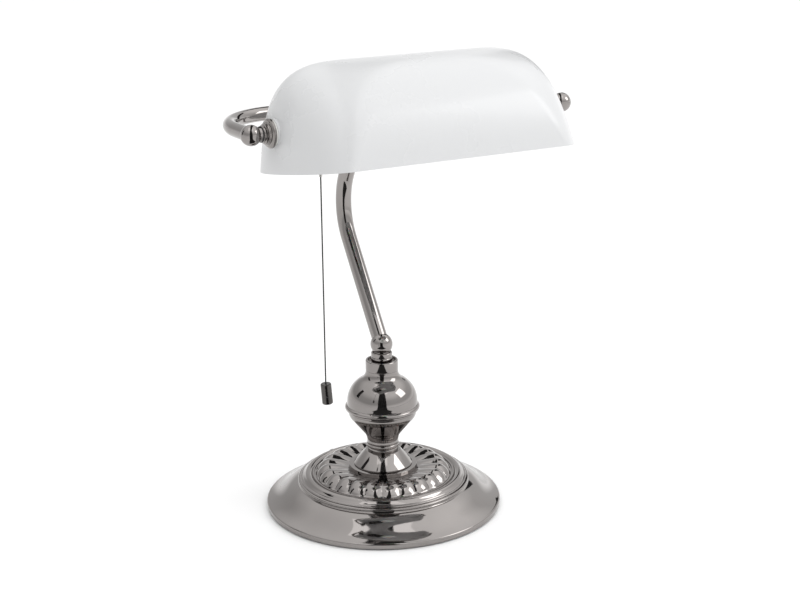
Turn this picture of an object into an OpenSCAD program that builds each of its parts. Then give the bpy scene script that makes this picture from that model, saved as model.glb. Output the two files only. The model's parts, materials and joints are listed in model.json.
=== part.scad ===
// Banker desk lamp: weighted round base, turned vase, leaning stem, U-shaped yoke
// and a tilting opal glass shade with a lampholder and a pull-cord switch inside.
// Millimetres. X runs along the shade, -Y is the front, Z is up.
// The origin is the centre of the base underside, on the desk.

/* [Base] */
// Outside diameter of the base
base_d = 180; // [150:1:220]
// Height of the cover's outer lip wall
lip_h = 2.7; // [2:0.1:6]
// Height above the desk where the skirt meets the step
skirt_z = 18; // [15:0.5:20]
// Height above the desk of the deck that carries the foot
deck_z = 24; // [23:0.5:30]
// Sheet thickness of the base cover
cover_wall = 1; // [0.8:0.1:1.4]
// Thickness of the felt pad
felt_t = 1.5; // [1:0.5:3]
// Width of the sloping skirt, from the outer edge to the step
skirt_w = 24.3; // [20:0.1:30]
// Width of the mouldings between the step and the fluted ring
mould_w = 13.2; // [13:0.1:18]
// Height of the flutes' crest above the deck
flute_h = 8; // [6.5:0.5:11]
// Number of flutes round the ring
flute_count = 24; // [18:1:30]
// Cord that the inlet bush takes, across
cord_inlet_d = 6; // [5:0.5:7]

/* [Foot and vase] */
// Height of the foot cone above its flange
cone_h = 10.5; // [8:0.5:14]
// Height of the neck ring
neck_h = 6; // [5:0.5:9]
// Widest diameter of the vase
vase_d = 57; // [47:1:68]
// Width of the ledge of the vase's cap round the collar
cap_ledge = 4.3; // [3:0.1:8]
// Height of the vase's lower bowl, up to the joint with the bell
bowl_h = 31.3; // [26:0.1:38]
// Height of the vase's upper bell
bell_h = 27.2; // [22:0.1:36]
// Height of the cap on the vase
cap_h = 8; // [7:0.5:12]
// Wall of the spun shells
vase_wall = 1.5; // [1:0.1:2]

/* [Stem and yoke] */
// How far the ball at the stem's foot stands out round the tube
knuckle_over = 2.4; // [2:0.1:5]
// Height of the ball's centre above the cap's rim
knuckle_rise = 12; // [10:0.5:16]
// Diameter of the stem tube
stem_d = 12; // [10:0.1:14.5]
// Wall of the stem and yoke tubes
tube_wall = 1.2; // [1:0.1:1.5]
// Lean of the stem's lower part from upright
stem_lean = 34.5; // [28:0.5:42]
// Length of the stem's lower straight part, from the ball's centre
stem_straight = 87; // [70:1:105]
// Radius of the stem's bend
stem_bend_r = 47; // [38:1:57]
// Height of the yoke above the ball's centre
yoke_rise = 179; // [150:1:215]
// Rear bar of the yoke behind the base's axis
bar_back = 21.5; // [12:0.5:30]
// Diameter of the yoke tube
yoke_d = 10; // [8.3:0.1:12]
// Radius of the yoke's bends
yoke_bend_r = 50; // [40:1:57]
// Gap between the level shade's rim and the yoke's rear bar
bar_gap = 6; // [5:0.5:20]
// How far the balls on the yoke's ends stand out round its tube
ball_over = 2.1; // [1.8:0.1:4]

/* [Shade] */
// Length of the shade along its rim
shade_l = 217; // [180:1:262]
// Depth of the shade along its rim, front to back
shade_w = 125; // [110:1:150]
// Height of the shade, rim to crown
shade_h = 72; // [64:1:87]
// Height of the pivot line above the shade's rim
pivot_up = 27.5; // [23:0.5:33]
// Glass thickness
glass_t = 3; // [2.5:0.1:4]
// How far the shade's front is tipped up at rest
rest_tip = 9; // [0:1:15]

/* [Pivots] */
// Diameter of the hollow pivot studs
stud_d = 8; // [6.6:0.1:9.6]
// Wall of the finials' threaded barrels
barrel_wall = 2; // [1.6:0.1:3]
// Length of the finial between the glass and the ball
finial_l = 8; // [6.5:0.5:12]
// How far the finial's flange stands out round its barrel
flange_w = 4; // [3.2:0.1:6]

/* [Lampholder and switch] */
// Air between the lampholder's insert and its shell
holder_room = 1.8; // [1:0.1:5]
// Distance of the pull cord from the shade's left end
cord_inset = 35; // [32:0.5:42]
// Downward travel of the pull switch
pull_travel = 7; // [4:0.5:8.5]
// Diameter of the bulb's globe
bulb_d = 45; // [37:1:54]
// Diameter of the pull cord
pull_cord_d = 1; // [0.8:0.1:1.4]
// Diameter of the cord's weight
weight_d = 7.6; // [6:0.1:10]
// Length of the cord's weight
weight_l = 15; // [10:0.5:20]

/* [Hidden] */
$fn = 96;

// Clearances
fit_gap = 0.05;    // radial gap of a seated tube, rod or bush
run_gap = 0.05;    // radial gap of a turning or sliding fit
free_gap = 0.3;    // gap between pieces that move past each other
cut = 1;           // how far a cutter runs past the surface it opens
weld_step = 0.02;  // lap and step where the stem's upper part meets the bend

// Heights of the stack on the threaded rod
base_r = base_d / 2;
rod_r = 5;
rod_bore_r = 3.2;
rod_hole_r = rod_r + fit_gap;
lip_z = felt_t - 0.5;
step_r = base_r - skirt_w;
ring_r = step_r - mould_w;
deck_under = deck_z - cover_wall;
knuckle_r = max(stem_d / 2 + knuckle_over, rod_r + 3.4);
collar_r = knuckle_r - 0.4;
neck_r = collar_r + cap_ledge;
cone_top_r = neck_r + 1.7;
cone_foot_r = cone_top_r + 8.5;
land_r = cone_foot_r + 3.5;
land_t = flute_h + 0.4;
cone_z = deck_z + land_t;
neck_z = cone_z + cone_h;
bowl_z = neck_z + neck_h;
bell_z = bowl_z + bowl_h;
cap_z = bell_z + bell_h;
cap_top = cap_z + cap_h;
knuckle_z = cap_top + knuckle_rise;
vase_r = vase_d / 2;

// Weight, nut and washer under the deck
weight_boss_r = 20;
weight_top = deck_z - 10;
washer_t = 1.6;
nut_t = 7;
nut_flats = 17;
rod_foot = felt_t + 3;
gland_r = cord_inlet_d / 2 + 1.8;
gland_z = lip_z + gland_r + 1.7;
gland_l = 16;
gland_y = base_r - gland_l - 3;              // inner end of the bush

// Stem geometry in the plane X = 0, as [Y, Z]
stem_r = stem_d / 2;
bar_z = knuckle_z + yoke_rise;
bend_start = [stem_straight * sin(stem_lean), knuckle_z + stem_straight * cos(stem_lean)];
bend_c = bend_start - stem_bend_r * [cos(stem_lean), -sin(stem_lean)];
hub_rel = [bar_back, bar_z] - bend_c;
stem_fore = atan2(hub_rel[1], hub_rel[0]) - acos(stem_bend_r / norm(hub_rel));
upper_l = sqrt(pow(norm(hub_rel), 2) - pow(stem_bend_r, 2));

// Yoke and pivots
yoke_r = yoke_d / 2;
stud_r = stud_d / 2;
stud_bore_r = stud_r - 1.8;
ball_r = max(yoke_r, stud_r + 1) + ball_over;
hub_r = norm([yoke_r + 1, stem_r + 1.5]);
yoke_reach = shade_w / 2 + bar_gap + yoke_r;
pivot_y = bar_back - yoke_reach;
pivot_z = bar_z;
barrel_r = stud_r + barrel_wall;
flange_r = barrel_r + flange_w;
pad_t = 1;                                   // washers on both sides of the glass
land_face = shade_l / 2 - 0.5;               // outer face of the glass's flat lands
land_depth = glass_t + 3;
flange_x = land_face + pad_t;
finial_x = flange_x + finial_l - 0.8;
washer_x = finial_x + free_gap;
ball_flat = washer_x + 0.6;
ball_x = ball_flat + ball_r - 0.5;
nut_x = land_face - land_depth - pad_t;      // outer face of the ring nuts
ring_nut_t = 4.5;
barrel_end = nut_x - ring_nut_t - 0.5;
stud_nut_x = barrel_end - free_gap;
stud_nut_t = 3.5;
stud_out = ball_x - stud_bore_r - 0.2;

// Lampholder, on the left stud
cord_x = shade_l / 2 - cord_inset;           // pull cord, left of the middle
sleeve_in = 13.6;
sleeve_wall = 0.4;
insert_r = sleeve_in + sleeve_wall + 2.2;
holder_wall = 1;
holder_r = insert_r + holder_room + holder_wall;
housing_r = 7.5;
insert_back = cord_x - housing_r - 0.5;      // back face of the insert
insert_plate = 3;
sleeve_l = 22;
holder_mouth = insert_back - insert_plate - sleeve_l - 2.5;
cap_shoulder = cord_x + housing_r + 0.5;
holder_neck_l = stud_nut_x - stud_nut_t - 0.4;
stud_left_end = cap_shoulder + 3;
contact_t = 0.6;
bulb_tip = insert_back - insert_plate - contact_t;
bulb_r = bulb_d / 2;
bulb_wall = 1;

// Pull switch: heights below the pivot line
housing_floor = 1.5;
spring_room = 10.5;                          // the spring's length with the switch pulled
housing_bottom = holder_r + 1.5;
head_low = housing_bottom - housing_floor - spring_room - pull_travel;
housing_top = head_low - 3;
bush_t = 1.6;
plunger_head_r = 4.8;
plunger_head_t = 1.6;
plunger_rod_r = 1.2;
eye_major = 2;
eye_minor = 0.6;
eye_drop = housing_bottom + bush_t + eye_major + eye_minor + 0.2;
link_minor = 0.5;
link_top_drop = eye_drop + eye_major - eye_minor - free_gap - link_minor;
link_drop = link_top_drop + eye_major;
swing_side_drop = link_drop + eye_major;
ferrule_low = swing_side_drop + 3.6;

// Pull cord's route, hanging straight down
cord_r = pull_cord_d / 2;
cord_top_z = pivot_z - ferrule_low + 2;
cord_end_z = 125;
cord_ring_step = 2.5;
weight_r = weight_d / 2;
weight_lean = 4;
weight_turn = -29;
CORD_ROUTE = [
  [-cord_x, pivot_y, cord_top_z], [-cord_x, pivot_y, 230],
  [-cord_x, pivot_y, 190], [-cord_x, pivot_y, cord_end_z]
];

// ---------- shared shapes ----------

// Points of an arc about [c, d], from angle a0 to a1
function arc(c, d, r, a0, a1, n) =
  [for (i = [0:n]) let (a = a0 + (a1 - a0) * i / n) [c + r * cos(a), d + r * sin(a)]];

module spun(points) {
  rotate_extrude() polygon(points);
}

module tube(r, wall, h) {
  difference() {
    cylinder(r = r, h = h);
    translate([0, 0, -cut]) cylinder(r = r - wall, h = h + 2 * cut);
  }
}

// A quarter-like bend of tube in the XY plane about Z
module bend(path_r, r, wall, angle) {
  rotate_extrude(angle = angle) translate([path_r, 0]) difference() {
    circle(r = r);
    circle(r = r - wall);
  }
}

// Along the pivot line; positive x is to the right
module on_pivot(x) {
  translate([x, pivot_y, pivot_z]) rotate([0, 90, 0]) children();
}

// On the pivot line, drawn from x towards the middle of the shade
module inward(x) {
  translate([x, pivot_y, pivot_z]) rotate([0, -90, 0]) children();
}

module both_ends() {
  children();
  mirror([1, 0, 0]) children();
}

module tipped() {
  translate([0, pivot_y, pivot_z]) rotate([-rest_tip, 0, 0]) children();
}

// ---------- base ----------

module felt_pad() {
  color("#2b2b2b") cylinder(r = base_r - 4.5, h = felt_t);
}

module gland_axis(y) {
  translate([0, y, gland_z]) rotate([-90, 0, 0]) children();
}

module base_weight() {
  color("#4a4a4c") difference() {
    spun([
      [rod_hole_r, felt_t], [base_r - 5, felt_t], [base_r - 5, felt_t + 2.5],
      [step_r - 4, weight_top], [weight_boss_r, weight_top],
      [weight_boss_r, deck_under], [rod_hole_r, deck_under]
    ]);
    translate([0, 0, felt_t - cut]) cylinder(r = 13, h = weight_top - felt_t + cut);
    translate([0, 0, felt_t - cut]) cylinder(r = rod_hole_r, h = deck_z);
    translate([-4, 0, felt_t - cut]) cube([8, base_r, 8 + cut]);
    gland_axis(gland_y - 5) cylinder(r = gland_r + 1, h = gland_l + 8);
  }
}

// Outline of the pressed cover, lip to centre hole; drop lowers and shrinks it
function skirt_point(s) = let (r0 = base_r - 0.9, z0 = lip_z + lip_h + 1.2)
  [r0 + (step_r - r0) * s, z0 + (skirt_z - z0) * (s - 0.06 * sin(360 * s))];

function cover_edge(inset, drop) = concat(
  [[base_r - inset, lip_z], [base_r - inset, lip_z + lip_h]],
  arc(base_r - 1.4, lip_z + lip_h - drop, 1.4 - inset, 10, 60, 4),
  [for (i = [1:12]) skirt_point(i / 12) - [inset, drop]],
  arc(step_r - 1.1, skirt_z + 2.2 - drop, 1.1 - inset, -70, 80, 6),
  arc(step_r - 2.6, skirt_z + 3.7 - drop, 0.7, -30, 110, 5),
  arc(step_r - 5, skirt_z + 3.9 - drop, 1.6, 30, 60, 3),
  arc(ring_r + 5.2, deck_z - 1.5 - drop, 3.2, 35, 145, 8),
  [[ring_r + 2, deck_z - drop], [ring_r + 1.8, deck_z + 0.9 - drop]],
  [[ring_r + 0.7, deck_z + 0.9 - drop], [ring_r + 0.5, deck_z - drop]],
  [[rod_hole_r, deck_z - drop]]
);

function backwards(list) = [for (i = [len(list) - 1:-1:0]) list[i]];

module base_cover() {
  color("#8d8783") difference() {
    spun(concat(cover_edge(0, 0), backwards(cover_edge(cover_wall, cover_wall))));
    gland_axis(gland_y - 5) cylinder(r = gland_r + fit_gap, h = gland_l + 12);
  }
}

module cord_gland() {
  color("#1c1c1c") difference() {
    gland_axis(gland_y) cylinder(r = gland_r, h = gland_l);
    gland_axis(gland_y - cut) cylinder(r = cord_inlet_d / 2 + 0.2, h = gland_l + 2 * cut);
  }
}

module base_washer() {
  color("#9a9a9a") translate([0, 0, weight_top - washer_t]) difference() {
    cylinder(r = 10.5, h = washer_t);
    translate([0, 0, -cut]) cylinder(r = rod_hole_r, h = washer_t + 2 * cut);
  }
}

module base_nut() {
  color("#9a9a9a") translate([0, 0, weight_top - washer_t - nut_t]) difference() {
    cylinder(r = nut_flats / sqrt(3), h = nut_t, $fn = 6);
    translate([0, 0, -cut]) cylinder(r = rod_hole_r, h = nut_t + 2 * cut);
  }
}

// Fluted ring: one closed loop of section points, repeated round the circle
flute_steps = 6;
FLUTE_TURNS = flute_count * flute_steps;
flute_in = land_r + fit_gap * 2;
flute_w = ring_r - flute_in;
function lobe(j) = let (s = (j % flute_steps) / flute_steps * 2 - 1) 1 - s * s;
// Shares of the ring's width and height, with how much a valley dips and draws in there
FLUTE_OUTLINE = [
  [0, 0, 0, 0], [0, 0.62, 0, 0], [0.125, 0.72, 0.3, 0], [0.335, 0.87, 0.7, 0], [0.5, 0.96, 0.9, 0],
  [0.62, 1, 1.1, 0], [0.75, 0.86, 1.2, 0.3], [0.86, 0.6, 1.2, 0.8], [0.93, 0.34, 0.9, 1.2],
  [0.965, 0.14, 0.3, 1], [0.983, 0.05, 0, 0], [0.983, 0, 0, 0]
];
function flute_section(k) = [for (p = FLUTE_OUTLINE)
  [flute_in + p[0] * flute_w - p[3] * (1 - k), deck_z + p[1] * flute_h - p[2] * (1 - k)]];
FLUTE_N = len(flute_section(1));

module fluted_ring() {
  points = [for (j = [0:FLUTE_TURNS - 1]) let (a = j * 360 / FLUTE_TURNS)
    for (p = flute_section(lobe(j))) [p[0] * cos(a), p[0] * sin(a), p[1]]];
  function at(j, i) = (j % FLUTE_TURNS) * FLUTE_N + (i % FLUTE_N);
  faces = [for (j = [0:FLUTE_TURNS - 1]) for (i = [0:FLUTE_N - 1])
    each [[at(j, i), at(j, i + 1), at(j + 1, i)], [at(j, i + 1), at(j + 1, i + 1), at(j + 1, i)]]];
  color("#8d8783") polyhedron(points, faces);
}

// ---------- foot and vase ----------

module foot_cone() {
  color("#8d8783") spun([
    [rod_hole_r, deck_z], [land_r, deck_z], [land_r, cone_z - 0.6], [cone_foot_r - 0.8, cone_z - 0.6],
    [cone_foot_r - 0.8, cone_z], [cone_foot_r, cone_z + 0.3],
    [cone_top_r, neck_z - 0.6], [cone_top_r - 0.8, neck_z], [rod_hole_r, neck_z]
  ]);
}

module neck_ring() {
  color("#8d8783") spun([
    [rod_hole_r, neck_z], [neck_r - 0.6, neck_z], [neck_r - 0.6, neck_z + neck_h * 0.45],
    [neck_r - 1, neck_z + neck_h * 0.45 + 0.2], [neck_r, neck_z + neck_h * 0.45 + 0.5],
    [neck_r + 0.1, neck_z + neck_h - 0.6], [neck_r - 0.5, neck_z + neck_h], [rod_hole_r, neck_z + neck_h]
  ]);
}

// Bowl and bell: an upright start, an arc, a straight run and an arc back to upright
bowl_foot_r = neck_r - 0.3;
bowl_top_r = vase_r - 2.5;
neck_rise = vase_wall + 0.5;
band_h = 5.5;
bowl_curve_z = bowl_z + bowl_h - band_h;
function flare(r0, z0, r1, z1, bend, share, n) = let (
    dr = abs(r1 - r0), dz = z1 - z0, g = r1 > r0 ? 1 : -1, a = bend * atan(dr / dz),
    both = (dz * sin(a) - dr * cos(a)) / (1 - cos(a)), ra = both * share, rb = both - ra
  ) concat(
    [for (i = [0:n]) let (t = a * i / n) [r0 + g * ra * (1 - cos(t)), z0 + ra * sin(t)]],
    [for (i = [0:n]) let (t = a * (1 - i / n)) [r1 - g * rb * (1 - cos(t)), z1 - rb * sin(t)]]
  );

function bowl_edge(inset) = concat(
  inset > 0 ? [] : [[bowl_foot_r, bowl_z]],
  flare(bowl_foot_r - inset, bowl_z + neck_rise, bowl_top_r - inset, bowl_curve_z, 1.31, 0.54, 7),
  [[bowl_top_r + 0.4 - inset, bowl_curve_z + 0.3], [bowl_top_r + 0.4 - inset, bowl_curve_z + 1.4]],
  [[vase_r - 1.4 - inset, bowl_curve_z + 1.9]],
  arc(vase_r - 1.9 - inset, bell_z - 2.2, 1.9, -45, 60, 6),
  [[vase_r - 1.6 - inset, bell_z]]
);

module vase_lower() {
  color("#8d8783") spun(concat(
    [[rod_hole_r, bowl_z]], bowl_edge(0),
    backwards(bowl_edge(vase_wall)),
    [[bowl_foot_r - vase_wall, bowl_z + vase_wall], [rod_hole_r, bowl_z + vase_wall]]
  ));
}

function bell_edge(inset) = concat(
  [[vase_r - 1.6 - inset, bell_z], [vase_r - 1.6 - inset, bell_z + 0.8]],
  flare(vase_r - 1.7 - inset, bell_z + 2, neck_r - inset, cap_z - 0.5 - inset, 1.9, 0.73, 9),
  [[neck_r - inset, cap_z - inset]]
);

module vase_upper() {
  color("#8d8783") spun(concat(
    bell_edge(0), [[rod_hole_r, cap_z], [rod_hole_r, cap_z - vase_wall]],
    backwards(bell_edge(vase_wall))
  ));
}

cap_recess = 2.2;
module vase_cap() {
  color("#8d8783") spun([
    [rod_hole_r, cap_z], [neck_r, cap_z], [neck_r + 0.1, cap_z + 1],
    [neck_r, cap_top - 0.6], [neck_r - 0.5, cap_top], [neck_r - 1.6, cap_top],
    [neck_r - 2, cap_top - cap_recess], [rod_hole_r, cap_top - cap_recess]
  ]);
}

// The collar ring stands in the cap's recess and holds the foot of the ball
knuckle_neck_r = knuckle_r - 1.9;
collar_top = knuckle_z - sqrt(pow(knuckle_r, 2) - pow(knuckle_neck_r, 2)) - 0.7;
module collar_ring() {
  color("#8d8783") spun([
    [knuckle_neck_r + fit_gap, cap_top - cap_recess], [collar_r - 0.6, cap_top - cap_recess],
    [collar_r, cap_top - cap_recess + 0.6], [collar_r, cap_top + 1.6], [collar_r - 0.4, cap_top + 2],
    [collar_r, cap_top + 2.4], [collar_r, collar_top - 0.5], [collar_r - 0.5, collar_top],
    [knuckle_neck_r + 0.5, collar_top], [knuckle_neck_r + fit_gap, collar_top - 0.9]
  ]);
}

rod_top = knuckle_z - knuckle_r;
module threaded_rod() {
  color("#9a9a9a") translate([0, 0, rod_foot]) tube(rod_r, rod_r - rod_bore_r, rod_top - rod_foot);
}

// ---------- ball and stem ----------

spigot_gap = 0.1;
spigot_l = 8;
tube_seat = 2.6;
stem_bore_r = stem_r - tube_wall;
wire_hole_r = 2.4;

// Along the stem's lower straight part, from the ball's centre
module along_stem(d) {
  translate([0, 0, knuckle_z]) rotate([-stem_lean, 0, 0]) translate([0, 0, d]) children();
}

module screw_axis() {
  translate([0, 0, knuckle_z]) rotate([0, 0, -25]) rotate([92.5 - stem_lean, 0, 0]) children();
}

module ball_knuckle() {
  color("#8d8783") difference() {
    union() {
      difference() {
        translate([0, 0, knuckle_z]) sphere(r = knuckle_r);
        along_stem(tube_seat) cylinder(r = stem_r + fit_gap, h = 2 * knuckle_r);
      }
      translate([0, 0, cap_top - cap_recess]) cylinder(r = knuckle_neck_r, h = knuckle_rise + cap_recess - 3);
      along_stem(0) cylinder(r = stem_bore_r - spigot_gap, h = tube_seat + spigot_l);
    }
    translate([0, 0, cap_top - cap_recess - cut])
      cylinder(r = rod_hole_r, h = rod_top - cap_top + cap_recess + cut);
    translate([0, 0, rod_top - cut]) cylinder(r = wire_hole_r + 0.5, h = knuckle_r + cut + 1.5);
    along_stem(0) cylinder(r = wire_hole_r, h = tube_seat + spigot_l + cut);
    screw_axis() translate([0, 0, knuckle_r - 3.2]) cylinder(r = 1.5 + fit_gap, h = 4);
  }
}

module grub_screw() {
  color("#b8b2ac") screw_axis() difference() {
    translate([0, 0, knuckle_r - 3]) cylinder(r = 1.5, h = 3);
    translate([0, 0, knuckle_r - 1.2]) cylinder(r = 0.75, h = 2, $fn = 6);
  }
}

module stem_tube() {
  color("#8d8783") along_stem(0) {
    translate([0, 0, tube_seat]) tube(stem_r, tube_wall, stem_straight - tube_seat);
    translate([0, -stem_bend_r, stem_straight]) {
      rotate([90, 0, 90]) bend(stem_bend_r, stem_r, tube_wall, stem_lean + stem_fore);
      rotate([stem_lean + stem_fore, 0, 0]) translate([0, stem_bend_r, -weld_step])
        tube(stem_r + weld_step, tube_wall + 2 * weld_step, upper_l - yoke_r - 1 + weld_step);
    }
  }
}

module yoke_hub() {
  color("#8d8783") difference() {
    translate([0, bar_back, bar_z]) sphere(r = hub_r);
    translate([-hub_r - cut, bar_back, bar_z]) rotate([0, 90, 0])
      cylinder(r = yoke_r + fit_gap, h = 2 * hub_r + 2 * cut);
    translate([0, bar_back, bar_z]) rotate([180 + stem_fore, 0, 0]) translate([0, 0, yoke_r + 1])
      cylinder(r = stem_r + fit_gap, h = hub_r);
  }
}

// ---------- yoke ----------

arm_seat = stud_r + 0.3;
arm_l = yoke_reach - yoke_bend_r - arm_seat;
bar_half = ball_x - yoke_bend_r;

module yoke_half() {
  translate([ball_x, pivot_y + arm_seat, bar_z]) rotate([-90, 0, 0]) tube(yoke_r, tube_wall, arm_l);
  translate([bar_half, bar_back - yoke_bend_r, bar_z]) bend(yoke_bend_r, yoke_r, tube_wall, 90);
}

module yoke_tube() {
  color("#8d8783") {
    both_ends() yoke_half();
    translate([-bar_half, bar_back, bar_z]) rotate([0, 90, 0]) tube(yoke_r, tube_wall, 2 * bar_half);
  }
}

module ball_end() {
  difference() {
    union() {
      difference() {
        union() {
          translate([ball_x, pivot_y, pivot_z]) sphere(r = ball_r);
          on_pivot(ball_flat) cylinder(r = stud_r + 1.2, h = ball_r - 1.5);
        }
        translate([ball_x, pivot_y + arm_seat, pivot_z]) rotate([-90, 0, 0])
          cylinder(r = yoke_r + fit_gap, h = 2 * ball_r);
      }
      translate([ball_x, pivot_y + 1, pivot_z]) rotate([-90, 0, 0])
        cylinder(r = yoke_r - tube_wall - spigot_gap, h = arm_seat + spigot_l - 1);
    }
    translate([ball_x, pivot_y, pivot_z]) rotate([-90, 0, 0])
      cylinder(r = stud_bore_r, h = arm_seat + spigot_l + cut);
    on_pivot(ball_flat - cut) cylinder(r = stud_r + fit_gap, h = stud_out - ball_flat + cut);
    on_pivot(stud_out - cut) cylinder(r = stud_bore_r - 0.2, h = ball_x - stud_out + cut);
  }
}

module ball_end_right() {
  color("#8d8783") ball_end();
}

module ball_end_left() {
  color("#8d8783") mirror([1, 0, 0]) ball_end();
}

module stud_right() {
  color("#a8a29c") on_pivot(stud_nut_x - stud_nut_t - 1.5)
    tube(stud_r, stud_r - stud_bore_r, stud_out - stud_nut_x + stud_nut_t + 1.5);
}

module stud_left() {
  color("#a8a29c") inward(-stud_left_end) tube(stud_r, stud_r - stud_bore_r, stud_out - stud_left_end);
}

module friction_washers() {
  color("#3a3634") both_ends() on_pivot(washer_x) difference() {
    cylinder(r = stud_r + 1.5, h = ball_flat - washer_x);
    translate([0, 0, -cut]) cylinder(r = stud_r + fit_gap, h = 3);
  }
}

module stud_nuts() {
  color("#a8a29c") both_ends() on_pivot(stud_nut_x - stud_nut_t) difference() {
    cylinder(r = stud_r + 2.8, h = stud_nut_t, $fn = 6);
    translate([0, 0, -cut]) cylinder(r = stud_r + fit_gap, h = stud_nut_t + 2 * cut);
  }
}

// ---------- shade and what turns with it ----------

corner_reach = 65;
corner_m = 3.6;
end_bow = 27;
end_grow = 38;
arch_n = 2.15;
wall_lean = 0.02;
SHADE_LEVELS = 13;
SHADE_TURN = 48;
crown_angle = 87.5;

// Half length, half depth and end depth at height share t, for a shell inset by d
function half_l(t, d) = shade_l / 2 - d - wall_lean * shade_h * t
  - corner_reach * (1 - pow(1 - pow(t, corner_m), 1 / corner_m));
function half_w(t, d) = (shade_w / 2 - d) * pow(1 - pow(t, arch_n), 1 / arch_n);
function end_l(t, d) = min(end_bow - d * 0.3 + end_grow * t, half_l(t, d));

function shade_ring(i, d) = let (
    t = sin(crown_angle * i / SHADE_LEVELS), l = half_l(t, d), w = half_w(t, d), e = end_l(t, d),
    z = (shade_h - d) * t - pivot_up
  ) [for (j = [0:SHADE_TURN - 1]) let (a = (j + 0.5) * 360 / SHADE_TURN, g = cos(a) > 0 ? 1 : -1)
    [g * (l - e) + e * cos(a), w * sin(a), z]];

module shade_glass_shell() {
  n = SHADE_TURN;
  m = SHADE_LEVELS + 1;
  outer = [for (i = [0:m - 1]) each shade_ring(i, 0)];
  inner = [for (i = [0:m - 1]) each shade_ring(i, glass_t)];
  function at(s, i, j) = s * n * m + i * n + (j % n);
  faces = concat(
    [for (i = [0:m - 2]) for (j = [0:n - 1]) each [
      [at(0, i, j), at(0, i + 1, j), at(0, i + 1, j + 1)],
      [at(0, i, j), at(0, i + 1, j + 1), at(0, i, j + 1)],
      [at(1, i, j), at(1, i + 1, j + 1), at(1, i + 1, j)],
      [at(1, i, j), at(1, i, j + 1), at(1, i + 1, j + 1)]
    ]],
    [for (j = [0:n - 1]) each [
      [at(0, 0, j), at(0, 0, j + 1), at(1, 0, j)], [at(0, 0, j + 1), at(1, 0, j + 1), at(1, 0, j)]
    ]],
    [[for (j = [n - 1:-1:0]) at(0, m - 1, j)]],
    [[for (j = [0:n - 1]) at(1, m - 1, j)]]
  );
  polyhedron(concat(outer, inner), faces);
}

glass_hole_r = barrel_r + 0.4;
module glass_shade() {
  color("#f2f4f6") tipped() difference() {
    union() {
      shade_glass_shell();
      both_ends() translate([land_face - land_depth, 0, 0]) rotate([0, 90, 0])
        cylinder(r = flange_r - 0.5, h = land_depth);
    }
    both_ends() translate([land_face - land_depth - cut, 0, 0]) rotate([0, 90, 0])
      cylinder(r = glass_hole_r, h = land_depth + 4);
  }
}

// The finial's outline steps down from its flange to the ball, as shares of its width and length
module finial() {
  w = flange_r - stud_r;
  l = finial_x - flange_x;
  outline = [
    [0.867, 0], [1, 0.08], [1, 0.28], [0.8, 0.42], [0.617, 0.44], [0.617, 0.51], [0.567, 0.54],
    [0.567, 0.64], [0.4, 0.68], [0.467, 0.72], [0.433, 0.81], [0.25, 0.85], [0.25, 0.93], [0.2, 1]
  ];
  on_pivot(0) spun(concat(
    [[stud_r + run_gap, barrel_end], [barrel_r, barrel_end], [barrel_r, flange_x]],
    [for (p = outline) [stud_r + w * p[0], flange_x + l * p[1]]],
    [[stud_r + run_gap, finial_x]]
  ));
}

module finial_right() {
  color("#6e6864") finial();
}

module finial_left() {
  color("#6e6864") mirror([1, 0, 0]) finial();
}

module pads(x) {
  both_ends() on_pivot(x) difference() {
    cylinder(r = flange_r - 1, h = pad_t);
    translate([0, 0, -cut]) cylinder(r = barrel_r + fit_gap, h = pad_t + 2 * cut);
  }
}

module outer_washers() {
  color("#dcdcd8") pads(land_face);
}

module inner_washers() {
  color("#dcdcd8") pads(nut_x);
}

module ring_nuts() {
  color("#a8a29c") both_ends() on_pivot(nut_x - ring_nut_t) difference() {
    cylinder(r = flange_r - 0.8, h = ring_nut_t, $fn = 8);
    translate([0, 0, -cut]) cylinder(r = barrel_r + fit_gap, h = ring_nut_t + 2 * cut);
  }
}

// ---------- lampholder and bulb, on the left stud ----------

// Spun about the pivot line, with the second coordinate as distance left of the middle
module left_spun(points) {
  translate([0, pivot_y, pivot_z]) rotate([0, -90, 0]) rotate_extrude() polygon(points);
}

module switch_axis(drop) {
  translate([-cord_x, pivot_y, pivot_z - drop]) children();
}

module holder_cap() {
  color("#2a2a2a") difference() {
    left_spun([
      [holder_r, insert_back], [holder_r, cap_shoulder], [holder_r - 2, cap_shoulder + 1.5],
      [stud_r + 5, cap_shoulder + 3.5], [stud_r + 4, cap_shoulder + 5],
      [stud_r + 4, holder_neck_l], [stud_r + fit_gap, holder_neck_l],
      [stud_r + fit_gap, stud_left_end], [stud_r - 1, stud_left_end], [stud_r - 1, cap_shoulder + 1.5],
      [holder_r - 3, cap_shoulder], [holder_r - holder_wall, cap_shoulder - 1],
      [holder_r - holder_wall, insert_back]
    ]);
    switch_axis(housing_bottom) cylinder(r = housing_r + fit_gap, h = housing_bottom - housing_top);
  }
}

module holder_shell() {
  color("#2a2a2a") left_spun([
    [holder_r, holder_mouth], [holder_r, insert_back], [holder_r - holder_wall, insert_back],
    [holder_r - holder_wall, holder_mouth + 1.5], [holder_r - 2.2, holder_mouth + 1.5],
    [holder_r - 2.2, holder_mouth]
  ]);
}

module holder_insert() {
  color("#e8e4da") left_spun([
    [2.4, insert_back - insert_plate], [sleeve_in + sleeve_wall + fit_gap, insert_back - insert_plate],
    [sleeve_in + sleeve_wall + fit_gap, insert_back - insert_plate - sleeve_l],
    [insert_r, insert_back - insert_plate - sleeve_l], [insert_r, insert_back - insert_plate],
    [holder_r - holder_wall - fit_gap, insert_back - insert_plate],
    [holder_r - holder_wall - fit_gap, insert_back], [2.4, insert_back]
  ]);
}

module screw_sleeve() {
  color("#c8a860") inward(-(insert_back - insert_plate - sleeve_l))
    tube(sleeve_in + sleeve_wall, sleeve_wall, sleeve_l);
}

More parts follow.
